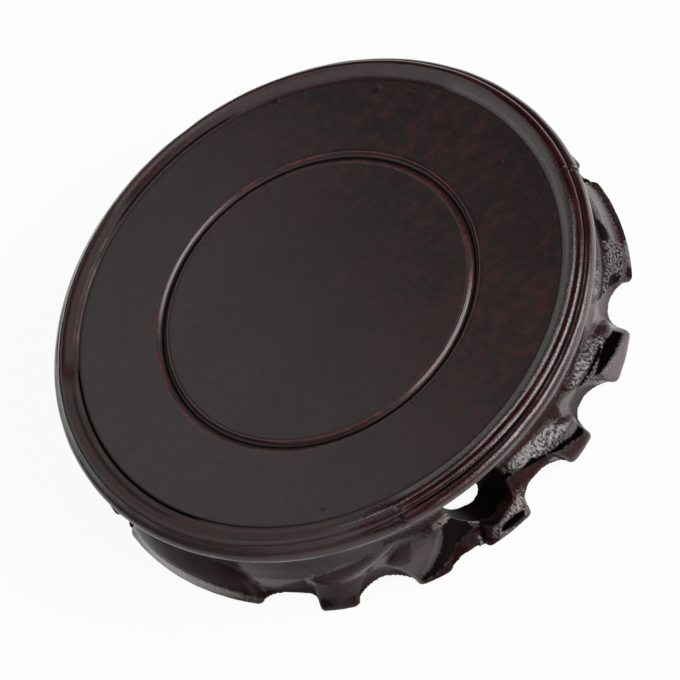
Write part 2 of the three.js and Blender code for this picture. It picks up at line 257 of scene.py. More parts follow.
def lacquer(name, look):
    # Dark red-brown lacquer brushed on wood. It is glossy and faintly pebbled, the pores of the wood show
    # through as fine short lines, sharp edges are rubbed paler and carry painted highlights, painted sheen
    # lightens the places that would mirror the pale room, pale filler lies on a knocked place, and painted
    # shade with some grime is matt and nearly black in the deepest places. Sizes are in millimetres. Pores
    # and pebbles are drawn two or three times as coarse as they are, so that they show.
    material, tree, output = newMaterial(name)
    place = addNode(tree, "ShaderNodeTexCoord").outputs["Object"]
    along = addNode(tree, "ShaderNodeMapping", {
        "Vector": place, "Rotation": (0, 0, -math.radians(look["grainBearing"])),
        "Scale": (look["grainStretch"], 1, 1)}, vector_type="TEXTURE")
    wear, grime, haze, dull, lumpy = [addNode(tree, "ShaderNodeAttribute", attribute_name=mark).outputs["Fac"]
                                      for mark in ("wear", "grime", "haze", "dull", "lumpy")]
    # a noise of scale s has spots about 1 / s metres across
    cloud, grain, patch, pebble, ripple, pore = [
        addNode(tree, "ShaderNodeTexNoise", {
            "Vector": vector, "Scale": 1 / (look[size] * mm), "Detail": detail, "Roughness": roughness})
        for size, vector, detail, roughness in (
            ("cloudSize", place, 3.0, 0.5), ("grainWidth", along, 4.0, 0.6), ("patchSize", place, 4.0, 0.65),
            ("pebbleSize", place, 1.5, 0.5), ("rippleSize", place, 2.0, 0.5), ("poreWidth", along, 2.0, 0.5))]
    cloudy = addNode(tree, "ShaderNodeMapRange", {"Value": cloud, "From Min": 0.35, "From Max": 0.65})
    grainy = addNode(tree, "ShaderNodeMapRange", {
        "Value": grain, "From Min": 0.5, "From Max": 0.72, "To Max": look["grainStrength"]})
    patchy = addNode(tree, "ShaderNodeMapRange", {
        "Value": patch, "From Min": 0.38, "From Max": 0.58, "To Min": 0.25})
    filledPore = addNode(tree, "ShaderNodeMapRange", {"Value": pore, "From Min": 0.3, "From Max": 0.42})
    rubbedAndHighlit = addNode(tree, "ShaderNodeMath", {0: wear, 1: patchy}, operation="MULTIPLY")
    # Colour: clouds, then grain, painted sheen and pale filler, rubbed edges with painted highlights, and
    # painted shade with grime over them. A mix node takes the share as input 0 and the two colours as 6 and
    # 7, and gives the mixed colour as output 2.
    colour = linear(look["dark"])
    for share, tint in ((cloudy, "light"), (grainy, "grainColour"), (haze, "sheenAndFillerColour"), (rubbedAndHighlit, "rubbedAndHighlit"),
                        (grime, "grime")):
        colour = addNode(tree, "ShaderNodeMix", {
            0: share, 6: colour, 7: linear(look[tint])}, data_type="RGBA").outputs[2]
    # relief in millimetres: pebbled skin and fine ripple where it is lumpy, open pores along the grain
    height = addNode(tree, "ShaderNodeMath", {0: pebble, 1: look["pebbleHeight"]}, operation="MULTIPLY")
    height = addNode(tree, "ShaderNodeMath", {
        0: ripple, 1: look["rippleHeight"], 2: height}, operation="MULTIPLY_ADD")
    height = addNode(tree, "ShaderNodeMath", {0: height, 1: lumpy}, operation="MULTIPLY")
    height = addNode(tree, "ShaderNodeMath", {
        0: filledPore, 1: look["poreHeight"], 2: height}, operation="MULTIPLY_ADD")
    relief = addNode(tree, "ShaderNodeBump", {"Height": height, "Strength": 1.0, "Distance": mm})
    # gloss: uneven, and gone where the surface is dull or where the painted shade and grime lie
    lost = addNode(tree, "ShaderNodeMath", {0: grime, 1: dull}, operation="MAXIMUM")
    clean = addNode(tree, "ShaderNodeMath", {0: 1.0, 1: lost}, operation="SUBTRACT", use_clamp=True)
    rough = addNode(tree, "ShaderNodeMapRange", {
        "Value": patch, "From Min": 0.3, "From Max": 0.7,
        "To Min": look["roughness"] * 0.8, "To Max": look["roughness"] * 1.25})
    rough = addNode(tree, "ShaderNodeMath", {0: grime, 1: 0.35, 2: rough}, operation="MULTIPLY_ADD")
    shine = addNode(tree, "ShaderNodeMath", {0: clean, 1: 0.5}, operation="MULTIPLY")
    coat = addNode(tree, "ShaderNodeMath", {0: clean, 1: look["coat"]}, operation="MULTIPLY")
    shader = addNode(tree, "ShaderNodeBsdfPrincipled", {
        "Base Color": colour, "Roughness": rough, "IOR": 1.5, "Specular IOR Level": shine, "Normal": relief,
        "Coat Weight": coat, "Coat Roughness": look["coatRoughness"], "Coat Normal": relief})
    tree.links.new(shader.outputs["BSDF"], output.inputs["Surface"])
    return material


panelLacquer = lacquer("brushedLacquerOnFlatBoard", {
    "dark": "#1b0e0e", "light": "#261212", "grainColour": "#120808",
    "sheenAndFillerColour": "#3a3032", "rubbedAndHighlit": "#6a2a2a", "grime": "#060404",
    "grainBearing": 68, "grainStretch": 9, "grainWidth": 0.6,
    "grainStrength": 0.9, "cloudSize": 24, "patchSize": 2.0,
    "pebbleSize": 1.6, "pebbleHeight": 0.012, "rippleSize": 0.5, "rippleHeight": 0.004,
    "poreWidth": 0.3, "poreHeight": 0.006, "roughness": 0.34, "coat": 0.3, "coatRoughness": 0.2,
})
rimLacquer = lacquer("brushedLacquerOnMoulding", {
    "dark": "#22090b", "light": "#300f12", "grainColour": "#160607",
    "sheenAndFillerColour": "#4c4745", "rubbedAndHighlit": "#84706e", "grime": "#060303",
    "grainBearing": 0, "grainStretch": 1, "grainWidth": 0.6,
    "grainStrength": 0.5, "cloudSize": 7, "patchSize": 0.9,
    "pebbleSize": 0.8, "pebbleHeight": 0.09, "rippleSize": 0.4, "rippleHeight": 0.04,
    "poreWidth": 0.5, "poreHeight": 0.015, "roughness": 0.22, "coat": 0.5, "coatRoughness": 0.1,
})
carvedLacquer = lacquer("brushedLacquerOnCarving", {
    "dark": "#1f0c0d", "light": "#2e1415", "grainColour": "#150808",
    "sheenAndFillerColour": "#574b4c", "rubbedAndHighlit": "#80726f", "grime": "#050303",
    "grainBearing": 0, "grainStretch": 1, "grainWidth": 0.7,
    "grainStrength": 0.5, "cloudSize": 6, "patchSize": 0.9,
    "pebbleSize": 1.0, "pebbleHeight": 0.27, "rippleSize": 0.45, "rippleHeight": 0.09,
    "poreWidth": 0.5, "poreHeight": 0.02, "roughness": 0.26, "coat": 0.5, "coatRoughness": 0.12,
})


def bareWood(name, dark, light, grainWidth):
    # Sawn hardwood, unfinished: matt, with fine straight grain
    material, tree, output = newMaterial(name)
    place = addNode(tree, "ShaderNodeTexCoord").outputs["Object"]
    along = addNode(tree, "ShaderNodeMapping", {
        "Vector": place, "Scale": (1, 1, 5)}, vector_type="TEXTURE")
    grain = addNode(tree, "ShaderNodeTexNoise", {
        "Vector": along, "Scale": 1 / (grainWidth * mm), "Detail": 5.0, "Roughness": 0.6})
    bands = addNode(tree, "ShaderNodeMapRange", {"Value": grain, "From Min": 0.3, "From Max": 0.7})
    colour = addNode(tree, "ShaderNodeMix", {
        0: bands, 6: linear(dark), 7: linear(light)}, data_type="RGBA").outputs[2]
    shader = addNode(tree, "ShaderNodeBsdfPrincipled", {"Base Color": colour, "Roughness": 0.65})
    tree.links.new(shader.outputs["BSDF"], output.inputs["Surface"])
    return material


def drawnSteel(name, colour, scratchSize):
    # Drawn steel wire with a stamped head: grey, lightly scratched
    material, tree, output = newMaterial(name)
    place = addNode(tree, "ShaderNodeTexCoord").outputs["Object"]
    scratch = addNode(tree, "ShaderNodeTexNoise", {
        "Vector": place, "Scale": 1 / (scratchSize * mm), "Detail": 3.0})
    rough = addNode(tree, "ShaderNodeMapRange", {
        "Value": scratch, "From Min": 0.3, "From Max": 0.7, "To Min": 0.28, "To Max": 0.5})
    shader = addNode(tree, "ShaderNodeBsdfPrincipled", {
        "Base Color": linear(colour), "Roughness": rough, "Metallic": 1.0})
    tree.links.new(shader.outputs["BSDF"], output.inputs["Surface"])
    return material


hiddenWood = bareWood("sawnHardwood", "#7a5234", "#a0744a", 0.5)
bradSteel = drawnSteel("drawnSteelWire", "#8d8984", 0.3)
for nodeName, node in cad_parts.items():
    if "spline" in nodeName or "dowel" in nodeName:
        node.data.materials.clear()
        node.data.materials.append(hiddenWood)
    if "brad" in nodeName:
        node.data.materials.clear()
        node.data.materials.append(bradSteel)
print("materials made")


# Top board
board = {
    "grooveRadius": 43.6,
    "grooveWidth": 2.6,
    "grooveDepth": 0.9,
    "lipSwell": 0.07,       # lips thrown up by the turning tool
    "hubRadius": 0.02,      # small cap that closes the middle
    "faceRadius": 67.3,
    "edgeRadius": 67.35,
    "columns": 740,         # points round the board
    "waviness": 0.012,
    "redness": 0.14,        # red clouds, on the right side only
    # pits over filled nail heads and knocks: radius, bearing, half width, depth
    "pits": [(67.0, -70.6, 1.0, 0.14), (64.4, -44.8, 1.2, 0.16), (64.1, -35.6, 0.8, 0.1),
             (59.5, -0.5, 0.6, 0.14), (63.8, 118.0, 0.7, 0.12)],
}


def makeBoard():
    # Level = field less the groove, where 1 less across squared, to the power 0.75, gives a round bottom and
    # steep sides, plus a swell on both lips, less a bell curve with a low wall round it for each pit.
    g, field, bottom = board["grooveRadius"], stand["fieldLevel"], stand["panelBottom"]
    # rows of points: fine over the groove and near the edge, coarse between
    r = np.concatenate([
        np.linspace(board["hubRadius"], g - 3, 16), np.linspace(g - 2.8, g + 2.8, 57),
        np.linspace(g + 3.2, 56, 12), np.linspace(56.4, board["faceRadius"], 40)])
    b = np.arange(board["columns"]) * 360 / board["columns"]
    radius, bearing = np.meshgrid(r, b, indexing="ij")
    across = np.abs(radius - g) / (board["grooveWidth"] / 2)
    valley = np.clip(1 - across ** 2, 0, 1) ** 0.75 * board["grooveDepth"]
    level = field - valley + board["lipSwell"] * hump(across, 1.25, 0.3)
    x, y = flat(radius, bearing)
    pitMark = np.zeros_like(radius)
    for pitRadius, pitBearing, halfWidth, deep in board["pits"]:
        px, py = flat(pitRadius, pitBearing)
        d = np.hypot(x - px, y - py) / halfWidth
        level = level - deep * hump(d, 0, 0.8) + 0.25 * deep * hump(d, 1.4, 0.35)
        pitMark = np.maximum(pitMark, hump(d, 0, 0.55))
    level = level + board["waviness"] * waves(5, 10, 0.04, 0.16, x, y) * smoothStep(0.02, 5, radius)
    # edge and underside
    edge = board["edgeRadius"]
    below = np.array([
        [edge, field - 0.5], [edge, bottom + 0.4], [edge - 0.35, bottom], [board["hubRadius"], bottom]])
    radius = np.vstack([radius, np.repeat(below[:, :1], len(b), 1)])
    level = np.vstack([level, np.repeat(below[:, 1:], len(b), 1)])
    pitMark = np.vstack([pitMark, np.zeros((len(below), len(b)))])
    bearing = np.repeat(b[None, :], len(radius), 0)
    quads = gridFaces(*radius.shape, wrapColumns=True)
    mesh = makeMesh("topPanel", polar(radius, bearing, level), quads, endCaps(*radius.shape))
    outward(mesh)
    x, y = flat(radius, bearing)
    upper = level > field - 1.2     # the face and the groove, not the underside
    lips = hump(np.abs(radius - g), 1.32, 0.22) * (0.6 + 0.35 * waves(8, 8, 0.1, 0.9, bearing * 0.8))
    clouds = waves(9, 28, 0.3, 1.6, x, y) + 0.4 * waves(10, 8, 0.04, 0.16, x, y)
    toRight = smoothStep(-20, 45, x)
    redder = board["redness"] * toRight * smoothStep(-0.6, 1.1, clouds)
    # painted shade along the field's edge under the rim, strongest on the left
    leftEdge = 0.35 + 0.65 * hump(around(bearing, 165), 0, 45)
    edgeShade = smoothStep(66.5, board["faceRadius"], radius) * leftEdge
    # painted shade in the groove's bottom, along the field's edge and in the pits, and painted sheen on the
    # groove's outer wall; the lips are worn
    setMarks(mesh, wear=(lips + redder) * upper,
             grime=(hump(radius, g, 0.42) + edgeShade + 0.8 * pitMark) * upper,
             haze=0.5 * hump(radius, g + 0.9, 0.4) * upper, dull=0 * radius, lumpy=0.5 + 0.5 * toRight)
    addPiece("topPanel", mesh, panelLacquer, "panel_lacquer", "top_panel")


makeBoard()
print("top board made")


# Rim moulding
rim = {
    "crestRise": 1.24,
    "crestInset": 3.4,
    "quirkInset": 1.5,
    "quirkDrop": 0.5,
    "filletHeight": 0.5,
    "beadBulge": 0.9,
    # undercut below the arris: how far in and how far up
    "undercut": [(1.1, 0), (0.5, 0.18), (0.12, 0.36)],
    "steps": 14,            # points on each curve of the section
    "arc": 0.28,            # degrees between sections
    "slowWaves": 0.05,      # waviness outwards
    "quickWaves": 0.03,
    "levelWaves": 0.035,    # waviness upwards
    "quirkFill": 0.3,       # lacquer that fills the quirk on the left
    "chipBearing": -91.3,   # knocked place on the far edge
    "chipHalfLength": 3.6,
    "chipDepth": 1.0,
    "fillerBearings": [11.3, 102.0],    # joints with lumpy filler
    "fillerHalfLength": 1.7,
    "fillerBulge": 0.22,
    "fillerRise": 0.12,
    # bands along the moulding: distance up the section from the bead's foot, half width, first and last
    # bearing, strength
    # a worn arris all round, which also catches a painted highlight, and painted highlights along the beads
    # and at the cove's foot
    "wear": [(0.1, 0.22, -400, 400, 0.9), (11.6, 0.2, 209, 236, 0.8), (10.7, 0.3, 209, 245, 0.4),
             (6.35, 0.2, 45, 96, 0.5), (4.3, 0.14, 26, 70, 0.7), (2.85, 0.25, 64, 97, 0.8)],
    # painted shade, nearly black, in the quirk, along the cove's foot and in narrow bands on the beads and
    # the crest
    "grime": [(12.35, 0.3, -30, 100, 0.45), (12.0, 0.42, 144, 209, 1.0), (11.0, 0.4, 240, 282, 0.9),
              (5.1, 0.42, 6, 104, 1.0), (9.8, 0.5, 152, 202, 0.5), (4.2, 0.2, -20, 12, 0.9),
              (2.15, 0.15, 50, 100, 0.9)],
    # painted sheen where the cove, the crest and the beads would mirror the pale room
    "haze": [(11.2, 0.9, -30, 104, 0.8), (1.7, 1.2, 12, 60, 0.6), (9.9, 1.0, -30, 60, 0.35),
             (9.3, 2.0, 106, 206, 0.45), (5.6, 2.0, 108, 200, 0.4), (3.0, 0.9, 106, 200, 0.4),
             (9.7, 1.3, 203, 252, 0.5)],
    "dull": [(7.4, 0.75, 62, 104, 0.95), (7.3, 0.6, -20, 22, 0.9), (7.1, 0.25, 26, 64, 0.95),
             (3.75, 0.35, 12, 102, 0.95), (9.8, 0.5, 150, 206, 0.9), (9.2, 0.9, 78, 108, 0.9)],
    # painted highlight, a pale streak over the crest: bearing, distance up the section
    "streak": [(20, 7.6), (35, 8.2), (50, 8.7), (65, 9.0), (80, 8.8), (102, 8.3)],
    "streakHalfWidth": 0.55,
}


def drawnCurve(steps, *points):
    # from the first point to the last, drawn towards those between: neighbours are mixed by the share t until
    # one is left; without its first point
    t = np.linspace(0, 1, steps + 1)[1:, None]
    while len(points) > 1:
        points = [(1 - t) * a + t * b for a, b in zip(points, points[1:])]
    return points[0]


def rimSection():
    # closed section, anticlockwise: ledge, undercut arris, lower bead, quirk, upper bead, crest and cove; and
    # the place of the bead's foot in it
    outer, low, top = stand["rimRadius"], stand["rimBottom"], stand["fieldLevel"]
    ledge, edge, ledgeTop = stand["ledgeRadius"], stand["panelEdge"], stand["panelBottom"] - 0.1
    arris = low + rim["filletHeight"]
    crest = np.array([outer - rim["crestInset"], top + rim["crestRise"]])
    quirk = np.array([outer - rim["quirkInset"], top - rim["quirkDrop"]])
    beadFoot = np.array([outer, arris + rim["filletHeight"] / 2])
    beadTurns = [np.array([outer + rim["beadBulge"], arris + (top - arris) * 0.25]),
                 np.array([outer + rim["beadBulge"] / 2, arris + (top - arris) * 0.85])]
    coveTurn = np.array([crest[0] + (edge - crest[0]) * 0.45, top])
    undercut = [[outer - inset, low + rise] for inset, rise in rim["undercut"]]
    below = np.concatenate([
        np.linspace([ledge, low], undercut[0], 9),
        np.array([*undercut[1:], [outer, arris], [outer - 0.02, arris + 0.12]])])
    section = np.concatenate([
        below,
        beadFoot[None],
        drawnCurve(rim["steps"] + 6, beadFoot, *beadTurns, quirk),
        drawnCurve(rim["steps"], quirk, np.array([outer - rim["quirkInset"], crest[1]]), crest),
        drawnCurve(rim["steps"], crest, coveTurn, np.array([edge, top])),
        np.array([[edge, top - 1.0], [edge, ledgeTop], [ledge, ledgeTop]])])
    return section, len(below)


def makeRimSegment(i):
    # The section is swept from joint to joint, a radius and a height for each bearing, with slow waves added.
    joints = stand["rimJoints"]
    first = joints[i]
    last = joints[(i + 1) % 4] + (360 if i == 3 else 0)
    section, foot = rimSection()
    b = np.linspace(first, last, int((last - first) / rim["arc"]))
    bearing, r0 = np.meshgrid(b, section[:, 0], indexing="ij")
    z0 = np.repeat(section[None, :, 1], len(b), 0)
    skin = smoothStep(67.6, 69.0, r0) * smoothStep(22.4, 23.2, z0)      # 0 where the rim meets other pieces
    turn = np.radians(bearing)
    run = np.concatenate([[0], np.cumsum(np.hypot(*np.diff(section, axis=0).T))])
    run = np.repeat((run - run[foot])[None, :], len(b), 0)      # distance up the section from the bead's foot
    # on the left the lacquer fills the quirk
    filled = hump(run, 4.7, 0.55) * smoothStep(104, 118, bearing) * smoothStep(212, 198, bearing)
    sideWaves = rim["slowWaves"] * waves(11, 8, 3, 14, turn)
    sideWaves = sideWaves + rim["quickWaves"] * waves(12, 8, 20, 60, turn, z0 * 0.05)
    radius = r0 + rim["quirkFill"] * filled + sideWaves * skin
    level = z0 + rim["quirkFill"] * filled + rim["levelWaves"] * waves(13, 8, 4, 30, turn, r0 * 0.02) * skin
    # the outer bead is knocked flat over a few millimetres
    fromChip = around(bearing, rim["chipBearing"]) * arcLength
    chip = hump(fromChip, 0, rim["chipHalfLength"]) * smoothStep(72.4, 74.4, r0)
    radius = radius - rim["chipDepth"] * chip * (1 + 0.2 * waves(14, 6, 20, 70, turn, z0 * 0.4))
    # lumpy filler over two of the joints
    lumps = waves(15, 16, 1.2, 4.0, bearing * arcLength, r0 * 1.2, z0 * 1.2)
    filler = np.zeros_like(radius)
    for place in rim["fillerBearings"]:
        fromJoint = around(bearing, place) * arcLength
        filler = np.maximum(filler, hump(fromJoint, 0, rim["fillerHalfLength"]) * (r0 > 70.5))
    filler = filler * smoothStep(-0.4, 0.5, lumps + 0.4)
    radius = radius + rim["fillerBulge"] * filler * lumps * skin
    highest = stand["fieldLevel"] + rim["crestRise"] + 0.05
    level = np.minimum(level + rim["fillerRise"] * filler * lumps * skin, highest)
    quads = gridFaces(*radius.shape, wrapColumns=True)
    mesh = makeMesh(f"rimSegment{i + 1}", polar(radius, bearing, level), quads, endCaps(*radius.shape))
    outward(mesh)
    broken = 0.65 + 0.35 * waves(17, 10, 8, 60, turn)
    marks = {}
    for kind in ("wear", "grime", "haze", "dull"):
        marks[kind] = np.zeros_like(radius)
        for place, half, start, end, strength in rim[kind]:
            middle, span = (start + end) / 2, (end - start) / 2
            away = np.abs(around(bearing, middle)) if span < 180 else 0 * bearing
            share = smoothStep(span, span - 6, away)
            marks[kind] = np.maximum(marks[kind], strength * share * band(run, place, half))
    bearings, places = np.array(rim["streak"], float).T
    fading = smoothStep(18, 30, bearing) * smoothStep(106, 70, bearing)
    streak = band(run, np.interp(bearing, bearings, places), rim["streakHalfWidth"]) * fading
    # painted highlight along the streak, painted sheen and shade from the bands; the filler is pale and dark
    # in its lumps, and the knocked place is pale filler
    setMarks(mesh, wear=marks["wear"] * broken + 0.75 * streak * broken + 0.25 * filler * (lumps > 0.6),
             grime=marks["grime"] + filler * (lumps < 0.1) * 0.9, haze=marks["haze"] + 0.8 * chip,
             dull=np.maximum(marks["dull"], 0.6 * hump(around(bearing, 155), 0, 50)),
             lumpy=0.25 + 0.5 * hump(around(bearing, 55), 0, 45))
    addPiece(f"rimSegment{i + 1}", mesh, rimLacquer, "rim_lacquer", f"rim_segment_{i + 1}")


for index in range(4):
    makeRimSegment(index)
print("rim made")


